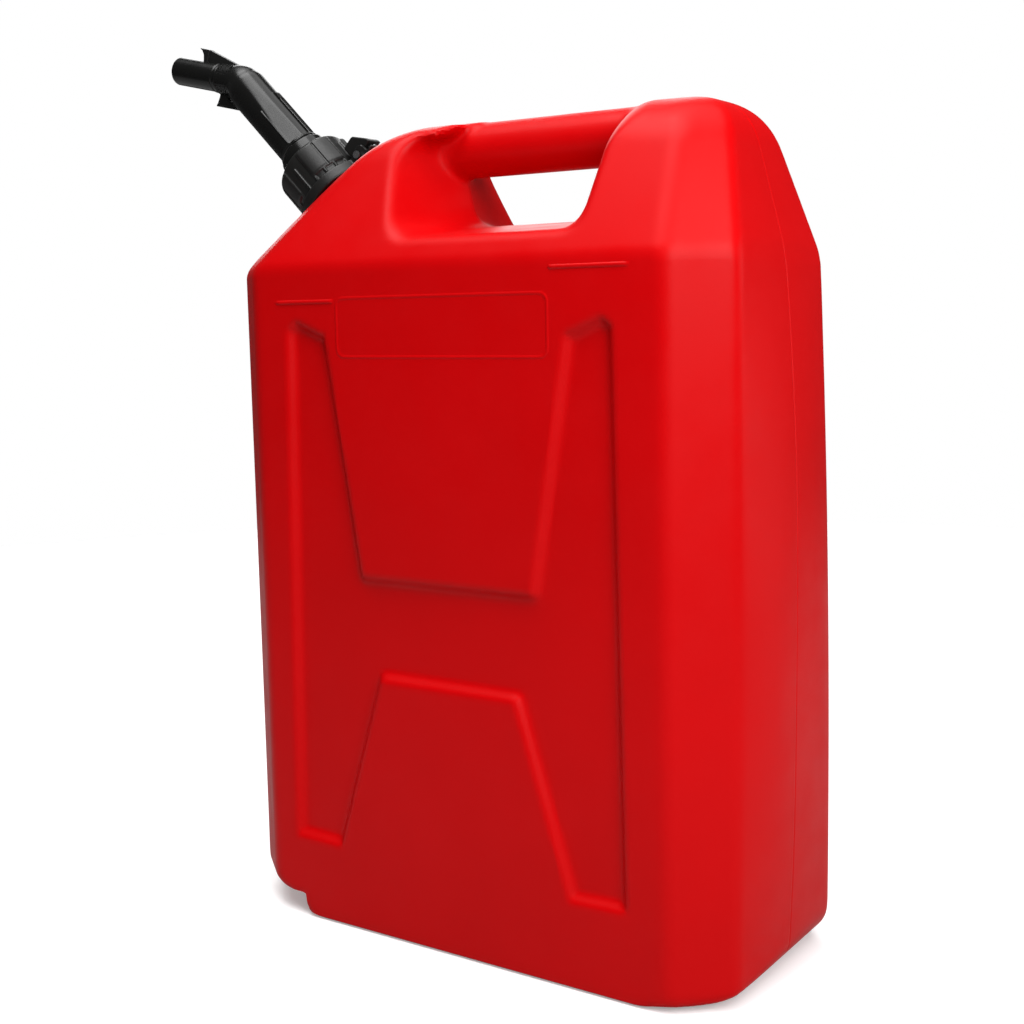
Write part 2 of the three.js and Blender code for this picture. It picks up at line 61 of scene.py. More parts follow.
HALF_DEPTH = can_high.y / MM
TOP = can_high.z / MM
RIDGE = can_high.x / MM            # half width at the parting line
HALF_WIDTH = 172.0                 # where the slanted left roof meets the left side
LEFT_FRONT, LEFT_BACK = 168.0, 172.0   # how far out the left side's two upright edges are
RIGHT_FRONT, RIGHT_BACK = 172.3, 180.6
CHAMFER_X, CHAMFER_Y = 30.0, 25.0
SHOULDER = 404.0                   # crease where the roof starts
STEP_X, STEP_HEIGHT = -114.5, 14.0
EDGE_Y = HALF_DEPTH - CHAMFER_Y
LEFT_TILT = math.radians(46)

BAR_RADIUS, BAR_HEIGHT, BAR_START, BAR_END = 15.9, 471.5, -63.0, 111.0
HOLE_LEFT, HOLE_RIGHT, HOLE_FLOOR = -30.9, 73.0, 426.6
PANEL_DEPTH = 4.6
WALL = 4.5                         # drawn thicker than the real 2.5; only the bore shows it

NECK_OUTER, NECK_BORE, NECK_LENGTH = 20.6, 18.6, 26.5
ELBOW, BEND, BEND_RADIUS = 120.2, math.radians(31), 11.0


# ---------------------------------------------------------------- fields

def smax(a, b, k):
    """Where both solids are, with the edge between them rounded over about k."""
    h = np.maximum(k - np.abs(a - b), 0) / k
    return np.maximum(a, b) + h * h * k / 4


def smin(a, b, k):
    """Where either solid is, with a fillet of about k."""
    return -smax(-a, -b, k)


def ramp(value, low, high):
    t = np.clip((value - low) / (high - low), 0, 1)
    return t * t * (3 - 2 * t)


def polygon(points, x, z):
    """Signed distance from an outline of (x, z) points."""
    nearest = np.full(np.shape(x + z), 1e9)
    inside = np.zeros(np.shape(x + z), bool)
    for (ax, az), (bx, bz) in zip(points, points[1:] + points[:1]):
        ex, ez = bx - ax, bz - az
        t = np.clip(((x - ax) * ex + (z - az) * ez) / (ex * ex + ez * ez), 0, 1)
        nearest = np.minimum(nearest, np.hypot(x - ax - t * ex, z - az - t * ez))
        crosses = (az > z) != (bz > z)
        if ez:
            inside ^= crosses & (x < ax + (z - az) * ex / ez)
    return np.where(inside, -nearest, nearest)


def slab(value, low, high):
    return np.maximum(low - value, value - high)


def rounded(a, b, radius):
    """Where both are, with an arc of that radius along an edge at right angles."""
    a, b = a + radius, b + radius
    return np.minimum(np.maximum(a, b), 0) + np.hypot(np.maximum(a, 0), np.maximum(b, 0)) - radius


# ---------------------------------------------------------------- meshes from fields

CORNERS = [(i, j, k) for i in (0, 1) for j in (0, 1) for k in (0, 1)]
EDGES = [(a, b) for a in CORNERS for b in CORNERS
         if sum(b) == sum(a) + 1 and all(q >= p for p, q in zip(a, b))]


def lines(low, high, step, fine=()):
    """Grid lines from low to high, closer together within each (from, to, step) of fine."""
    stops = sorted({low, high, *(f[0] for f in fine), *(f[1] for f in fine)})
    out = []
    for a, b in zip(stops, stops[1:]):
        here = min([f[2] for f in fine if f[0] <= a and b <= f[1]] + [step])
        out.extend(np.linspace(a, b, max(1, round((b - a) / here)), endpoint=False))
    return np.array(out + [high])


def surface(field, xs, ys, zs):
    """Vertices and quads of the field's zero surface, by surface nets and then Newton steps on to it."""
    grid = field(*np.meshgrid(xs, ys, zs, indexing="ij", sparse=True))
    inside = grid < 0
    count = sum(inside[i:grid.shape[0] - 1 + i, j:grid.shape[1] - 1 + j, k:grid.shape[2] - 1 + k].astype(np.int8)
                for i, j, k in CORNERS)
    cells = np.argwhere((count > 0) & (count < 8))
    total = np.zeros((len(cells), 3))
    hits = np.zeros(len(cells))
    for a, b in EDGES:
        ca, cb = cells + a, cells + b
        va, vb = grid[tuple(ca.T)], grid[tuple(cb.T)]
        cut = (va < 0) != (vb < 0)
        t = np.where(cut, va / np.where(cut, va - vb, 1), 0)[:, None]
        pa = np.stack([xs[ca[:, 0]], ys[ca[:, 1]], zs[ca[:, 2]]], 1)
        pb = np.stack([xs[cb[:, 0]], ys[cb[:, 1]], zs[cb[:, 2]]], 1)
        total += np.where(cut[:, None], pa + t * (pb - pa), 0)
        hits += cut
    points = total / hits[:, None]
    number = np.full(count.shape, -1, np.int64)
    number[tuple(cells.T)] = np.arange(len(cells))
    quads = []
    for axis in range(3):
        across = [other for other in range(3) if other != axis]
        ahead = [slice(None)] * 3
        behind = [slice(None)] * 3
        ahead[axis], behind[axis] = slice(1, None), slice(None, -1)
        first = inside[tuple(behind)]
        edge = np.argwhere(first != inside[tuple(ahead)])
        edge = edge[(edge[:, across[0]] > 0) & (edge[:, across[1]] > 0)]
        ring = []
        for da, db in ((1, 1), (0, 1), (0, 0), (1, 0)):
            cell = edge.copy()
            cell[:, across[0]] -= da
            cell[:, across[1]] -= db
            ring.append(number[tuple(cell.T)])
        ring = np.stack(ring, 1)
        flip = first[tuple(edge.T)] == (axis == 1)
        ring[flip] = ring[flip][:, ::-1]
        quads.append(ring)
    step = 0.02
    limit = min(np.diff(xs).max(), np.diff(ys).max(), np.diff(zs).max()) * 0.5
    for _ in range(3):
        value = field(*points.T)
        slope = np.stack([
            (field(*(points + d).T) - field(*(points - d).T)) / (2 * step) for d in np.eye(3) * step
        ], 1)
        move = value[:, None] * slope / np.maximum((slope ** 2).sum(1), 0.05)[:, None]
        size = np.linalg.norm(move, axis=1, keepdims=True)
        points = points - move * np.minimum(1, limit / np.maximum(size, 1e-9))
    return points, np.concatenate(quads)


def mesh_object(name, points, faces, place=None, sharp=38):
    """A smooth-shaded object from points in millimetres, put in the row frame by place."""
    mesh = bpy.data.meshes.new(name)
    mesh.from_pydata(points * MM, [], faces.tolist())
    if place is not None:
        mesh.transform(place)
    mesh.polygons.foreach_set("use_smooth", [True] * len(mesh.polygons))
    mesh.set_sharp_from_angle(angle=math.radians(sharp))
    mesh.update()
    made = bpy.data.objects.new(name, mesh)
    bpy.context.scene.collection.objects.link(made)
    return made


def solid(name, field, xs, ys, zs, place=None, sharp=38):
    return mesh_object(name, *surface(field, xs, ys, zs), place, sharp)


def combine(target, tool, how):
    """Joins tool to target, or cuts it away, and removes the tool."""
    change = target.modifiers.new("combine", "BOOLEAN")
    change.operation, change.solver, change.object = how, "MANIFOLD", tool
    bpy.context.view_layer.update()
    shaped = bpy.data.meshes.new_from_object(target.evaluated_get(bpy.context.evaluated_depsgraph_get()))
    target.modifiers.clear()
    target.data = shaped
    bpy.data.objects.remove(tool)


def frame_along(origin, axis):
    """A frame with Z along axis and Y the row frame's +Y."""
    z = Vector(axis).normalized()
    y = Vector((0, 1, 0))
    x = y.cross(z)
    turned = Matrix((x, y, z)).transposed().to_4x4()
    return Matrix.Translation(origin) @ turned


neck_frame = frame_along(joints["collar_turn"]["pos_m"], joints["collar_turn"]["axis"])
nozzle_axis = -Vector(joints["nozzle_push"]["axis"])
nozzle_frame = frame_along(neck_frame @ Vector((0, 0, ELBOW * MM)), nozzle_axis)
FINE = 1.0          # a coarser grid while trying things


# ---------------------------------------------------------------- the can

def panel_relief(x, z):
    """How deep the sunk H is in a broad face, and how high the thin moulded lines stand on the front."""
    half_frame_x, half_frame_z, frame_middle, frame_corner = 68, 12, 368, 5
    side = [(46, 158.5), (81, 49.5), (120.5, 50.5), (114, 368), (106, 374.5), (81.5, 364.5), (58, 223.5)]
    outline = side + [(-px, pz) for px, pz in reversed(side)]
    sunk = PANEL_DEPTH * ramp(-polygon(outline, x, z), 0, 7.5)
    frame_x, frame_z = np.abs(x) - half_frame_x, np.abs(z - frame_middle) - half_frame_z
    border = np.hypot(np.maximum(frame_x, 0), np.maximum(frame_z, 0))
    border = border + np.minimum(np.maximum(frame_x, frame_z), 0) - frame_corner
    marks = [np.abs(border)]
    for low, high, level in ((-119, -76.5, 383.3), (75.3, 120.5, 398.2)):
        marks.append(np.hypot(np.maximum(slab(x, low, high), 0), z - level))
    raised = 0.0
    for distance, width, height in zip(marks, (0.8, 1.1, 1.1), (0.3, 0.7, 0.7)):
        raised = np.maximum(raised, height * np.clip(1.35 - (distance / width) ** 2, 0, 1))
    return sunk, raised


def side_shape(x, y, z):
    """How far out each narrow end is at the parting line and at its front and back edges."""
    z = np.minimum(z, SHOULDER)
    middle = RIDGE - 0.2 - np.where(z > 190, 2.05e-4, 1.4e-4) * (z - 190) ** 2
    back_edge = np.where(x < 0, LEFT_BACK, RIGHT_BACK - 6.1e-5 * (z - 30) ** 2)
    front_edge = np.where(x < 0, LEFT_FRONT, RIGHT_FRONT)
    edge = np.where(y > 0, back_edge, front_edge)
    lean, drop = (back_edge - front_edge) / 2, middle - (back_edge + front_edge) / 2
    t = np.clip(y / EDGE_Y, -1.4, 1.4)
    return middle + lean * t - drop * t * t, edge


def shell(x, y, z):
    """The can's outer shape without the handle, the panels or the neck."""
    ay = np.abs(y)
    out, edge = side_shape(x, y, z)
    side = np.abs(x) - out
    size = math.hypot(CHAMFER_X, CHAMFER_Y)
    cx, cy = CHAMFER_Y / size, CHAMFER_X / size
    corner = cx * (np.abs(x) - edge) + cy * (ay - EDGE_Y)
    broad = ay - HALF_DEPTH
    base = smin(STEP_HEIGHT - z, smax(STEP_X - x, -z, 12), 2)
    ground = STEP_HEIGHT * ramp(-x, 125, 145) - z
    ends = smax(side, rounded(np.abs(x) - RIDGE + 1, ground, 32), 2)
    walls = smax(broad, corner, 4.0)
    walls = smax(walls, ends, 3.5)
    walls = smax(walls, base, 2.6 + 9 * ramp(np.abs(x), 122, 142))

    rise = z - SHOULDER
    front = (broad + 0.5 * rise) / math.hypot(1, 0.5)
    right_hip = (corner + 0.454 * rise) / math.hypot(1, 0.454)
    left_hip = (cx * (-x - LEFT_FRONT) + cy * (ay - EDGE_Y) + 0.98 * rise) / math.hypot(1, 0.98)
    right = (x - out + 0.266 * rise) / math.hypot(1, 0.266)
    left = -math.sin(LEFT_TILT) * (x + HALF_WIDTH) + math.cos(LEFT_TILT) * rise
    roof = smax(smax(front, right_hip, 4.5), smax(right, left_hip, 3.0), 4.0)
    roof = smax(roof, left, 3.0)
    body = smax(walls, roof, 2.2)
    crown = 22 + 6 * ramp(x, 70, 130) - 6 * ramp(-x, 50, 90)
    fall = np.maximum(-x - 43, 0) ** 2 / 210 + 2.2 * ramp(-x, -25, 25)
    return smax(body, z - TOP + fall, crown)


def hole_field(x, y, z):
    """The hollow round the handle bar: open to the top on the right, arched over on the left."""
    ay = np.abs(y)
    left = HOLE_LEFT - 0.27 * ay - (0.22 + 0.0031 * ay) * (z - 446) - x
    right = x - HOLE_RIGHT - 0.3 * ay - 0.25 * (z - 446)
    floor = HOLE_FLOOR - 0.122 * ay - z
    arch = (z - 477 - 34 * ramp(x, -34, 8)) / 1.4
    return smax(smax(smax(left, arch, 14), right, 4), floor, 14)


def can_field(x, y, z):
    ay = np.abs(y)
    body = shell(x, y, z)
    sunk, raised = panel_relief(x, z)
    on_front = y < -60
    body = smax(body, ay - HALF_DEPTH + sunk, 0.8) - raised * on_front
    lip = 5 + 13 * ramp(z, 458, 484) * ramp(x, 20, 60)
    body = smax(body, -hole_field(x, y, z), lip)
    bar = np.maximum(np.hypot(y, z - BAR_HEIGHT) - BAR_RADIUS, slab(x, BAR_START, BAR_END))
    body = smin(body, bar, 5.0)
    seam_depth, seam_width = 0.3, 0.5
    return body + seam_depth * np.exp(-(y / seam_width) ** 2)


def hollow_field(x, y, z):
    """The hollow: every outer wall moved in, the handle hole included."""
    body = smax(shell(x, y, z), np.abs(y) - (HALF_DEPTH - PANEL_DEPTH), 3)
    return smax(body, -hole_field(x, y, z), 6) + WALL


def neck_field(x, y, z):
    r = np.hypot(x, y)
    tube = rounded(r - NECK_OUTER, z - NECK_LENGTH, 0.7)
    pitch, start, turns, wire = 5.0, 12.0, 2, 1.1
    turn = np.arctan2(y, x) / (2 * math.pi)
    steps = np.round((z - start) / pitch - turn)
    steps = np.clip(steps, np.ceil(-turn), np.ceil(turns - 1 - turn))
    bead = np.hypot(r - NECK_OUTER - 0.1, z - start - pitch * (turn + steps)) - wire
    return np.maximum(smin(tube, bead, 0.5), -6 - z)


def make_can():
    h = 2.4 * FINE
    near = 0.5 * FINE
    xs = lines(-187, 187, h, [(-75, -71, near), (71, 75, near)])
    ys = lines(-82, 82, h, [(-2, 2, 0.4 * FINE), (-80, -72, 1.2 * FINE), (72, 80, 1.2 * FINE)])
    zs = lines(-4, 492, h, [(349, 353, near), (382, 387, near), (396.5, 400, near)])
    can = solid("can_shell", can_field, xs, ys, zs)
    neck_lines = lines(-24, 24, 0.8 * FINE)
    neck = solid("neck", neck_field, neck_lines, neck_lines, lines(-8, 30, 0.8 * FINE), neck_frame)
    combine(can, neck, "UNION")
    coarse = 6.0
    hollow = solid("hollow", hollow_field, lines(-187, 187, coarse), lines(-82, 82, coarse), lines(-4, 492, coarse))
    combine(can, hollow, "DIFFERENCE")
    bore = solid("bore", lambda x, y, z: np.maximum(np.hypot(x, y) - NECK_BORE, slab(z, -12, 40)),
                 lines(-21, 21, 1.5), lines(-21, 21, 1.5), lines(-14, 42, 2), neck_frame)
    combine(can, bore, "DIFFERENCE")
    can.data.set_sharp_from_angle(angle=math.radians(38))
    return can


# ---------------------------------------------------------------- closure, in the neck's frame

def collar_field(x, y, z):
    r, turn = np.hypot(x, y), np.arctan2(y, x)
    bottom, top, skirt, pad, bore, hole, ceiling = 9.0, 37.0, 24.3, 26.0, 22.7, 17.2, 33.4
    body = rounded(r - skirt, z - top, 2.2)
    quarter = math.pi / 2
    off = turn - (np.floor(turn / quarter) + 0.5) * quarter
    arc = np.abs(off) * r
    grip = smax(smax(r - pad, arc - 12.6, 1.6), slab(z, bottom + 4.2, top - 1.5), 2.6)
    body = smin(body, grip, 0.7)
    groove = np.maximum(np.maximum(arc - 0.6, pad - 0.8 - r), slab(z, bottom + 5, top - 3))
    ribs = r - skirt - 1.0 * np.clip(4 * np.cos(turn * 20) - 2.8, 0, 1)
    body = smin(body, smax(ribs, slab(z, bottom, top - 8), 1.0), 0.3)
    body = smax(body, -groove, 0.3)
    cavity = np.minimum(rounded(r - bore, z - ceiling, 0.6), r - hole)
    body = smax(body, -cavity, 0.8)
    body = smax(body, bottom - z, 0.8)
    pitch, start, wire = 5.0, 9.5, 1.1
    step = np.clip(np.round((z - start) / pitch - turn / (2 * math.pi)), 1, 2)
    bead = np.hypot(r - bore + 0.1, z - start - pitch * (turn / (2 * math.pi) + step)) - wire
    return np.minimum(body, np.maximum(bead, r - bore - 0.8))


def centre_line(x, y, z):
    """Distance from the spout's bent centre line, and the way along it from the middle of the elbow."""
    start = ELBOW - BEND_RADIUS * math.tan(BEND / 2)
    half = BEND / 2
    px, pz = x + BEND_RADIUS, z - start
    angle = half + np.arctan2(pz * math.cos(half) - px * math.sin(half),
                              px * math.cos(half) + pz * math.sin(half))
    turned = np.clip(angle, 0, BEND)
    cx = -BEND_RADIUS * (1 - np.cos(turned))
    cz = start + BEND_RADIUS * np.sin(turned)
    ux, uz = np.cos(turned), np.sin(turned)
    out = (x - cx) * ux + (z - cz) * uz
    on = -(x - cx) * uz + (z - cz) * ux
    below, after = np.minimum(on, 0) * (angle <= 0), np.maximum(on, 0) * (angle >= BEND)
    return np.hypot(out, y), BEND_RADIUS * (turned - half) + below + after


def nozzle_local(x, z):
    """The same point in the nozzle's frame: up from its axis, and along it from the elbow."""
    s, c = math.sin(BEND), math.cos(BEND)
    dz = z - ELBOW
    return x * c + dz * s, -x * s + dz * c


def tube_field(x, y, z):
    tube, mouth, mouth_end, hub, bead_high = 13.7, 10.6, 17.0, 16.6, 50.0
    away, on = centre_line(x, y, z)
    up, along = nozzle_local(x, z)
    size = tube - (tube - mouth) * ramp(on, -9, 6)
    skin = rounded(away - size, along - mouth_end, 0.8)
    r = np.hypot(x, y)
    reach = ramp(-z, -112, -54)
    for angle in (54, -54):
        flat = x * math.cos(math.radians(angle)) + y * math.sin(math.radians(angle)) - tube + 0.95 * reach
        skin = smax(skin, np.where(z < 113, flat, -9), 0.25)
    straight = slab(z, 45, 92)
    rail = smax(smax(slab(x, 0, tube + 0.9), np.abs(y) - 2.8, 0.5), straight, 0.8)
    rail = smax(rail, -smax(smax(tube + 0.3 - x, np.abs(y) - 1.5, 0.3), z - 86, 0.4), 0.3)
    skin = smin(skin, rail, 0.5)
    for angle in (76, -76):
        c, s = math.cos(math.radians(angle)), math.sin(math.radians(angle))
        line = smax(slab(x * c + y * s, 0, tube + 0.55), np.abs(y * c - x * s) - 0.45, 0.3)
        line = smax(line, slab(z, 45, 84), 0.6)
        skin = smin(skin, line, 0.4)
    skin = np.maximum(skin, 31 - z)
    bead = np.hypot(np.maximum(r - tube, 0), z - bead_high) - 1.25
    skin = smin(skin, bead, 0.8)
    skin = smin(skin, rounded(r - hub, z - 47.6, 1.2), 0.5)
    flange = rounded(r - 21.8, z - 33, 0.6)
    skin = smax(np.minimum(skin, flange), 30.3 - z, 0.5)
    bore = np.maximum(r - 11, z - ELBOW + 24)
    bore = np.minimum(bore, np.maximum(r - 9, z - ELBOW + 4.5))
    inner = np.hypot(up, y)
    bore = np.minimum(bore, np.maximum(inner - 8.6, -7 - along))
    bore = np.minimum(bore, np.maximum(inner - 9.8, 3.2 - along))
    bore = np.minimum(bore, np.maximum(inner - 2.6, -11 - along))
    skin = smax(skin, -bore, 0.5)
    above = np.minimum(np.maximum(8.4 - up, 3.5 - along), np.maximum(mouth - 0.6 - up, -3.6 - along))
    edge = ((-9.4 - 0.9) * (-up - 11.6) + (11.6 - 18.6) * (along - 0.9)) / math.hypot(10.3, 7.0)
    below = np.maximum(np.maximum(8.4 + up, np.minimum(3.5 - along, np.maximum(11.6 + up, edge))), -9.4 - along)
    slots = np.maximum(np.minimum(above, below), np.abs(y) - 2.4)
    return smax(skin, -slots, 0.4)


def tip_field(x, y, z):
    """In the nozzle's frame: the sliding guide, the tip and its valve seat."""
    r = np.hypot(x, y)
    guide, tip, shoulder, end = 8.2, 9.3, 17.3, 58.8
    body = rounded(r - tip, np.maximum(shoulder - z, z - end), 1.1)
    body = np.minimum(body, np.maximum(r - guide, slab(z, 0, shoulder + 2)))
    groove = np.maximum(6.8 - r, slab(z, 1.2, 3.0))
    bore = np.maximum(r - 6, z - 28)
    bore = np.minimum(bore, r - 4.6)
    bore = np.minimum(bore, np.maximum(r - 7.4, 53.9 - z))
    body = smax(body, -bore, 0.7)
    ring = np.hypot(r - tip, z - 21.2) - 0.45
    return np.maximum(smin(body, ring, 0.4), -groove)


def catch_field(x, y, z):
    """In the nozzle's frame: a horn above, which hooks a tank's rim, and a fin below, on a split ring."""
    r = np.hypot(x, y)
    ring = rounded(r - 9.4, slab(z, 10, 16.9), 0.3)
    ring = smax(ring, 8.5 - r, 0.2)
    horn = [(9, 10), (11.6, 10), (11.6, 4.8), (18.3, 33), (18.5, 42), (17.2, 39.2), (14.6, 37.4), (11.6, 36.9),
            (9.3, 36.8), (9.3, 17.4), (9, 17.4)]
    fin = [(-9, 10), (-11.6, 10), (-12, 9.2), (-18.3, -1.6), (-18.3, 19.2), (-11.6, 17.4), (-9, 17.4)]
    outline = polygon(horn, x + 1.3, z + 1.3)
    web = rounded(outline, np.abs(y) - 1.8, 0.35)
    lip = rounded(np.maximum(outline, 32.1 - z - 0.12 * (x - 9)), np.abs(y) - 2.9, 0.5)
    keel = rounded(polygon(fin, x, z), np.abs(y) - 1.8, 0.35)
    keel_rim = rounded(np.maximum(polygon(fin, x, z), x + 16.9), np.abs(y) - 2.25, 0.4)
    body = smin(smin(web, lip, 0.5), smin(keel, keel_rim, 0.4), 0.4)
    return smin(body, ring, 0.6)


PIN_X, PIN_Z, PIN_HOLE = 33.0, 5.6, 1.7
TAB_HALF, EAR_HALF = 6.0, 9.0          # half widths of the tab and of the ears beside it


def pin_hole(x, z):
    return np.hypot(x - PIN_X, z - PIN_Z) - PIN_HOLE


def lock_ring_field(x, y, z):
    inner, outer, bottom, top = 21.2, 28.4, 0.6, 8.2
    r = np.hypot(x, y)
    body = rounded(r - outer, slab(z, bottom, top), 0.9)
    ears = rounded(polygon([(24.8, bottom), (40, bottom), (39, top), (36, top + 2), (24.8, top)], x, z),
                   slab(np.abs(y), TAB_HALF + 0.3, EAR_HALF), 0.5)
    plate = rounded(slab(x, 24.8, 44), np.maximum(slab(z, bottom, bottom + 1.4), np.abs(y) - EAR_HALF), 0.4)
    body = smin(smin(body, ears, 0.7), plate, 0.5)
    gate = np.maximum(np.maximum(outer - 1.4 - x, np.abs(y) - TAB_HALF - 0.3), bottom + 1.4 - z)
    body = smax(body, -gate, 0.3)
    return smax(smax(body, -pin_hole(x, z), 0.2), inner - r, 0.6)


def lock_tab_field(x, y, z):
    outline = [(27.6, 10), (26.7, 12), (26.7, 18.6), (27.6, 19.5), (35.6, 19.5), (37, 18.8), (43.4, 9.4), (43.8, 8),
               (43.8, 6.4), (37, 6.4), (35.5, 3.2), (31, 3.2), (30, 5)]
    body = rounded(polygon(outline, x, z), np.abs(y) - TAB_HALF, 0.9)
    dish = np.sqrt((x - 47.5) ** 2 + (y * 0.75) ** 2 + (z - 21.2) ** 2) - 9.6
    body = smax(body, -dish, 1.2)
    for level in (2.5, 4.6, 6.7):
        reach = (x - 37) * 0.825 - (z - 18.8) * 0.565
        ridge = np.hypot(reach - 0.1, (x - 37) * 0.565 + (z - 18.8) * -0.825 - level) - 0.45
        body = smin(body, np.maximum(ridge, np.abs(y) - 4.6), 0.3)
    return smax(body, -pin_hole(x, z), 0.2)


# ---------------------------------------------------------------- materials

class Nodes:
    """A material under construction, with one Principled shader."""

    def __init__(self, name, **settings):
        self.material = bpy.data.materials.new(name)
        self.material.use_nodes = True
        self.tree = self.material.node_tree
        self.shader = self.tree.nodes["Principled BSDF"]
        for key, value in settings.items():
            self.shader.inputs[key.replace("_", " ")].default_value = value
        self.place = self.add("ShaderNodeTexCoord").outputs["Object"]

    def add(self, kind, inputs=(), **properties):
        node = self.tree.nodes.new(kind)
        for key, value in properties.items():
            setattr(node, key, value)
        for key, value in dict(inputs).items():
            if isinstance(value, bpy.types.NodeSocket):
                self.tree.links.new(value, node.inputs[key])
            else:
                node.inputs[key].default_value = value
        return node

    def noise(self, scale, detail=3, roughness=0.5, stretch=None):
        vector = self.place
        if stretch:
            vector = self.add("ShaderNodeMapping", {"Vector": self.place, "Scale": stretch}).outputs["Vector"]
        node = self.add("ShaderNodeTexNoise", {"Vector": vector, "Scale": scale, "Detail": detail,
                                               "Roughness": roughness})
        return node.outputs["Fac"]

    def spread(self, value, low, high, to_low=0.0, to_high=1.0):
        node = self.add("ShaderNodeMapRange", {"Value": value, "From Min": low, "From Max": high,
                                               "To Min": to_low, "To Max": to_high})
        return node.outputs["Result"]

    def blend(self, factor, a, b):
        node = self.add("ShaderNodeMix", {"Factor": factor}, data_type="RGBA")
        for socket, value in ((node.inputs[6], a), (node.inputs[7], b)):
            if isinstance(value, bpy.types.NodeSocket):
                self.tree.links.new(value, socket)
            else:
                socket.default_value = value
        return node.outputs[2]

    def bump(self, height, distance, strength=1.0, under=None):
        inputs = {"Height": height, "Distance": distance, "Strength": strength}
        if under is not None:
            inputs["Normal"] = under
        return self.add("ShaderNodeBump", inputs).outputs["Normal"]

    def finish(self, **sockets):
        for key, value in sockets.items():
            self.tree.links.new(value, self.shader.inputs[key.replace("_", " ")])
        return self.material


def moulded_plastic(name, colour, tint, roughness, grain=0.00006, specular=0.3, scuffs=0.06):
    """Satin moulded plastic: a slow colour drift, a fine spark-eroded grain and a few hairline scuffs."""
    m = Nodes(name, Specular_IOR_Level=specular)
    drift = m.spread(m.noise(9, 3), 0.3, 0.7)
    base = m.blend(drift, colour, tint)
    streaks = m.noise(260, 2, 0.6, stretch=(1.0, 1.0, 0.06))
    hairs = m.spread(streaks, 0.70, 0.74, 0.0, scuffs)
    wear = m.spread(m.noise(38, 4), 0.35, 0.75, roughness - 0.05, roughness + 0.06)
    rough = m.add("ShaderNodeMath", {0: wear, 1: hairs}, operation="ADD").outputs[0]
    soft = m.bump(m.noise(30, 2), 0.0004, 0.05)
    fine = m.bump(m.noise(2600, 2, 0.6), grain, 0.55, soft)
    return m.finish(Base_Color=base, Roughness=rough, Normal=fine)


def translucent_plastic(name, colour):
    m = Nodes(name, Specular_IOR_Level=0.4, Subsurface_Weight=0.25, Subsurface_Scale=0.004)
    drift = m.spread(m.noise(120, 3), 0.3, 0.7)
    base = m.blend(drift, colour, tuple(0.86 * c for c in colour[:3]) + (1,))
    rough = m.spread(m.noise(300), 0.3, 0.7, 0.36, 0.5)
    return m.finish(Base_Color=base, Roughness=rough, Normal=m.bump(m.noise(1500), 0.00004, 0.4))


def rubber(name, colour):
    m = Nodes(name, Specular_IOR_Level=0.25)
    base = m.blend(m.spread(m.noise(200, 4), 0.35, 0.7), colour, tuple(1.7 * c for c in colour[:3]) + (1,))
    rough = m.spread(m.noise(500), 0.3, 0.7, 0.6, 0.82)
    return m.finish(Base_Color=base, Roughness=rough, Normal=m.bump(m.noise(2400, 4), 0.00008, 0.6))


def plated_steel(name):
    m = Nodes(name, Metallic=1.0)
    base = m.blend(m.spread(m.noise(500, 4), 0.35, 0.7), (0.62, 0.63, 0.65, 1), (0.44, 0.44, 0.45, 1))
    rough = m.spread(m.noise(1400, 3, stretch=(1, 1, 8)), 0.3, 0.7, 0.2, 0.38)
    return m.finish(Base_Color=base, Roughness=rough, Normal=m.bump(m.noise(2200), 0.00003, 0.5))


red = moulded_plastic("red_polyethylene", (0.56, 0.0006, 0.0018, 1), (0.52, 0.0004, 0.0013, 1), 0.40,
                      grain=0.00006, specular=0.1)
black = moulded_plastic("black_plastic", (0.0045, 0.0045, 0.0045, 1), (0.0065, 0.0065, 0.006, 1), 0.2,
                        grain=0.000015, specular=0.3)
matt_black = moulded_plastic("matt_black_plastic", (0.007, 0.007, 0.007, 1), (0.010, 0.010, 0.0095, 1), 0.36,
                             grain=0.00007, specular=0.32)
undyed = translucent_plastic("undyed_plastic", (0.74, 0.72, 0.64, 1))
green_rubber = rubber("green_rubber", (0.03, 0.10, 0.065, 1))
seal_rubber = rubber("seal_rubber", (0.016, 0.016, 0.017, 1))
steel = plated_steel("plated_steel")


# ---------------------------------------------------------------- pieces

def install(piece, body, node, material):
    piece.data.materials.clear()
    piece.data.materials.append(material)
    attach(piece, body)
    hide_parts(node)


def around(low, high, step):
    """Grid lines in x, y and z round a part given by its lowest and highest corner, with some to spare."""
    return [lines(a - 2 * step, b + 2 * step, step) for a, b in zip(low, high)]


install(make_can(), "can", "can_body", red)
DETAIL = 0.7 * FINE                    # grid step of the larger black parts
FINER = 0.65                           # times that for the small ones
for name, field, low, high, place, body, node, slot, material, finer in (
    ("collar", collar_field, (-27, -27, 9), (27, 27, 37),
     neck_frame, "collar", "spout_collar", "spout_black", matt_black, 1),
    ("spout", tube_field, (-22, -22, 30), (22, 22, 141),
     neck_frame, "spout", "spout_tube", "spout_black", black, 1),
    ("nozzle", tip_field, (-9.6, -9.6, 0), (9.6, 9.6, 59),
     nozzle_frame, "nozzle", "nozzle_tip", "spout_black", black, FINER),
    ("catch", catch_field, (-19, -9.5, -2), (19, 9.5, 42),
     nozzle_frame, "nozzle", "tank_catch", "catch_black", matt_black, FINER),
    ("closure_ring", lock_ring_field, (-29, -29, 0.6), (44, 29, 10.5),
     neck_frame, "can", "lock_ring", "spout_black", matt_black, 1),
    ("thumb_tab", lock_tab_field, (26, -6.1, 3), (44, 6.1, 20),
     neck_frame, "lock", "lock_tab", "spout_black", matt_black, FINER),
):
    piece = solid(name, field, *around(low, high, DETAIL * finer), place)
    install(piece, body, node, material)

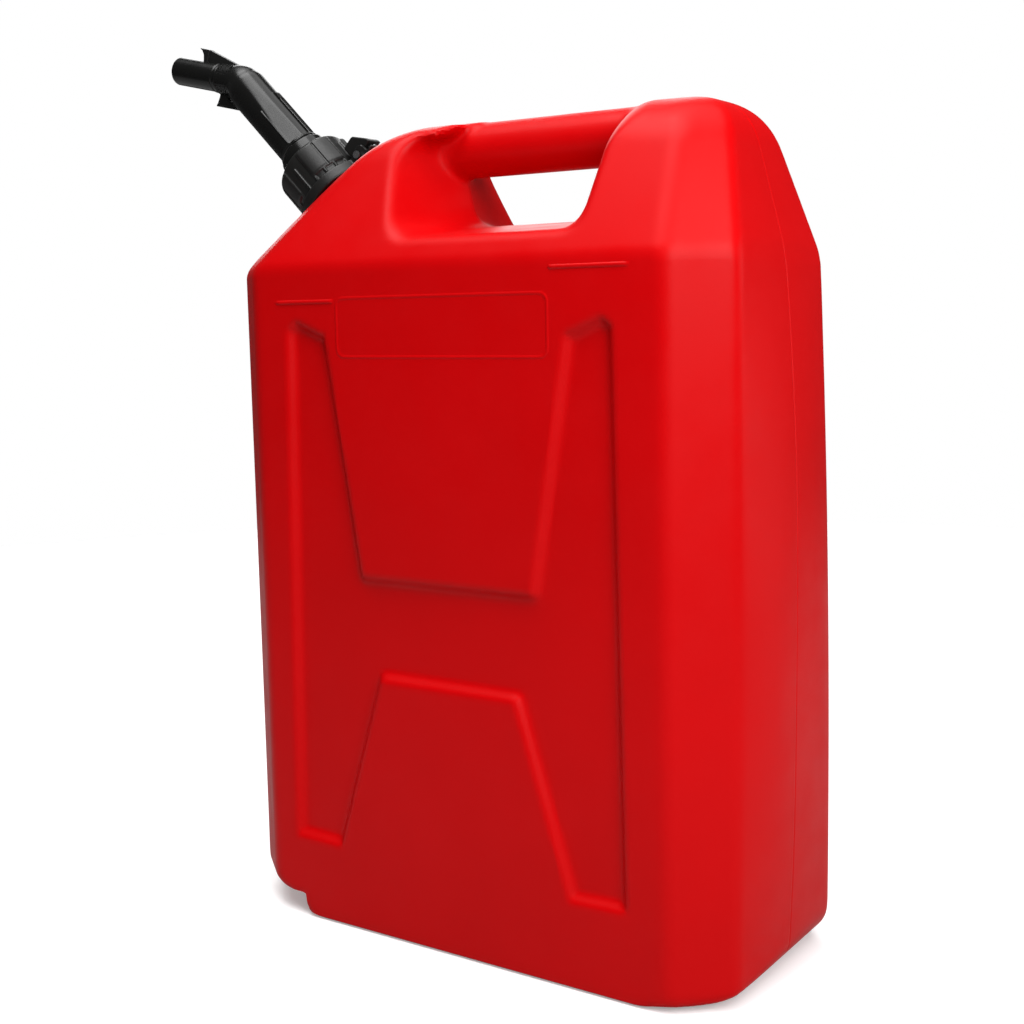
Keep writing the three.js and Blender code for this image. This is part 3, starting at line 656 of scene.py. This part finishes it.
for node, material in (
    ("lock_pin", steel), ("lock_spring", steel), ("valve_spring", steel), ("strainer_basket", undyed),
    ("vent_tube", undyed), ("valve_stem", undyed), ("valve_plug", black), ("neck_gasket", green_rubber),
    ("nozzle_seal", seal_rubber), ("plug_seal", seal_rubber),
):
    carried = frame["nodes"][node]
    carried.data.materials.clear()
    carried.data.materials.append(material)
    carried.data.polygons.foreach_set("use_smooth", [True] * len(carried.data.polygons))
    carried.data.set_sharp_from_angle(angle=math.radians(34))


# ---------------------------------------------------------------- stage

def floor_material():
    m = Nodes("pale_floor", Specular_IOR_Level=0.0, Emission_Color=(1, 1, 1, 1), Emission_Strength=0.3)
    base = m.blend(m.spread(m.noise(3, 4), 0.3, 0.7), (0.80, 0.80, 0.80, 1), (0.83, 0.83, 0.83, 1))
    bounce = m.add("ShaderNodeBsdfDiffuse", {"Color": (0.42, 0.42, 0.42, 1)})
    seen = m.add("ShaderNodeMixShader", {"Fac": m.add("ShaderNodeLightPath").outputs["Is Camera Ray"],
                                         1: bounce.outputs["BSDF"], 2: m.shader.outputs["BSDF"]})
    m.tree.links.new(seen.outputs["Shader"], m.tree.nodes["Material Output"].inputs["Surface"])
    return m.finish(Base_Color=base, Roughness=m.spread(m.noise(40), 0.3, 0.7, 0.7, 0.8))


def make_floor():
    count = 64
    around_it = np.linspace(0, 2 * math.pi, count, endpoint=False)
    rings = [0.4, 1.1, 1.8]            # metres; the largest ends where the lights still make it white
    points = np.array([(0, 0, 0)] + [(r * math.cos(t), r * math.sin(t), 0) for r in rings for t in around_it])
    faces = [(0, 1 + i, 1 + (i + 1) % count) for i in range(count)]
    for ring in range(len(rings) - 1):
        first, second = 1 + count * ring, 1 + count * (ring + 1)
        faces += [(first + i, second + i, second + (i + 1) % count, first + (i + 1) % count)
                  for i in range(count)]
    mesh = bpy.data.meshes.new("floor")
    mesh.from_pydata(points.tolist(), [], faces)
    floor = bpy.data.objects.new("floor", mesh)
    floor.location.z = can_low.z
    bpy.context.scene.collection.objects.link(floor)
    floor.data.materials.append(floor_material())


def area_light(name, place, target, size, power):
    data = bpy.data.lights.new(name, "AREA")
    data.shape, data.size, data.size_y = "RECTANGLE", *size
    data.energy = power
    made = bpy.data.objects.new(name, data)
    made.location = place
    made.rotation_euler = (Vector(target) - Vector(place)).to_track_quat("-Z", "Y").to_euler()
    bpy.context.scene.collection.objects.link(made)


# the camera that was fitted to the can's edges in the photo, placed in multiples of the shoulder's height
CAMERA_YAW, CAMERA_PITCH, CAMERA_ROLL = 0.5967, 0.1319, 0.0177
CAMERA_PLACE = Vector((1.2241, -1.8200, 0.9211)) * SHOULDER * MM
LENS, SENSOR = 51.5, 36.0


def make_camera():
    data = bpy.data.cameras.new("camera")
    data.lens, data.sensor_width = LENS, SENSOR
    data.clip_start, data.clip_end = 0.05, 50
    camera = bpy.data.objects.new("camera", data)
    yaw, pitch, roll = CAMERA_YAW, CAMERA_PITCH, CAMERA_ROLL
    forward = Vector((-math.sin(yaw) * math.cos(pitch), math.cos(yaw) * math.cos(pitch), -math.sin(pitch)))
    level = Vector((math.cos(yaw), math.sin(yaw), 0))
    down = forward.cross(level)
    right = math.cos(roll) * level + math.sin(roll) * down
    up = math.sin(roll) * level - math.cos(roll) * down
    camera.matrix_world = Matrix.Translation(CAMERA_PLACE) @ Matrix((right, up, -forward)).transposed().to_4x4()
    bpy.context.scene.collection.objects.link(camera)
    bpy.context.scene.camera = camera


make_floor()
make_camera()
centre = Vector((0, 0, 0.24))
area_light("key", (0.80, -0.55, 0.80), centre, (0.6, 0.8), 12)
area_light("front_top", (-0.15, -1.05, 1.75), Vector((-0.1, 0, 0.45)), (0.35, 0.35), 1.8)
area_light("overhead", (-0.15, -0.30, 1.40), Vector((0, 0, 0.45)), (0.9, 0.6), 8)
area_light("right_back", (1.6, 0.9, 0.5), centre, (0.8, 1.2), 5)
area_light("back_fill", (-1.3, 1.5, 1.3), centre, (1.4, 1.2), 14)
sun = bpy.data.objects.new("high", bpy.data.lights.new("high", "SUN"))
sun.data.energy, sun.data.angle = 1.7, math.radians(60)
sun.rotation_euler = Vector((0.02, 0.02, -1)).to_track_quat("-Z", "Y").to_euler()
bpy.context.scene.collection.objects.link(sun)

world = bpy.data.worlds.new("studio")
bpy.context.scene.world = world
world.use_nodes = True
nodes, links = world.node_tree.nodes, world.node_tree.links
soft = nodes["Background"]
soft.inputs["Color"].default_value = (1, 1, 1, 1)
soft.inputs["Strength"].default_value = 0.07
plain = nodes.new("ShaderNodeBackground")
plain.inputs["Strength"].default_value = 1.0
plain.inputs["Color"].default_value = (1, 1, 1, 1)
choose = nodes.new("ShaderNodeMixShader")
links.new(nodes.new("ShaderNodeLightPath").outputs["Is Camera Ray"], choose.inputs["Fac"])
links.new(soft.outputs["Background"], choose.inputs[1])
links.new(plain.outputs["Background"], choose.inputs[2])
links.new(choose.outputs["Shader"], nodes["World Output"].inputs["Surface"])
bpy.context.scene.view_settings.view_transform = "Standard"
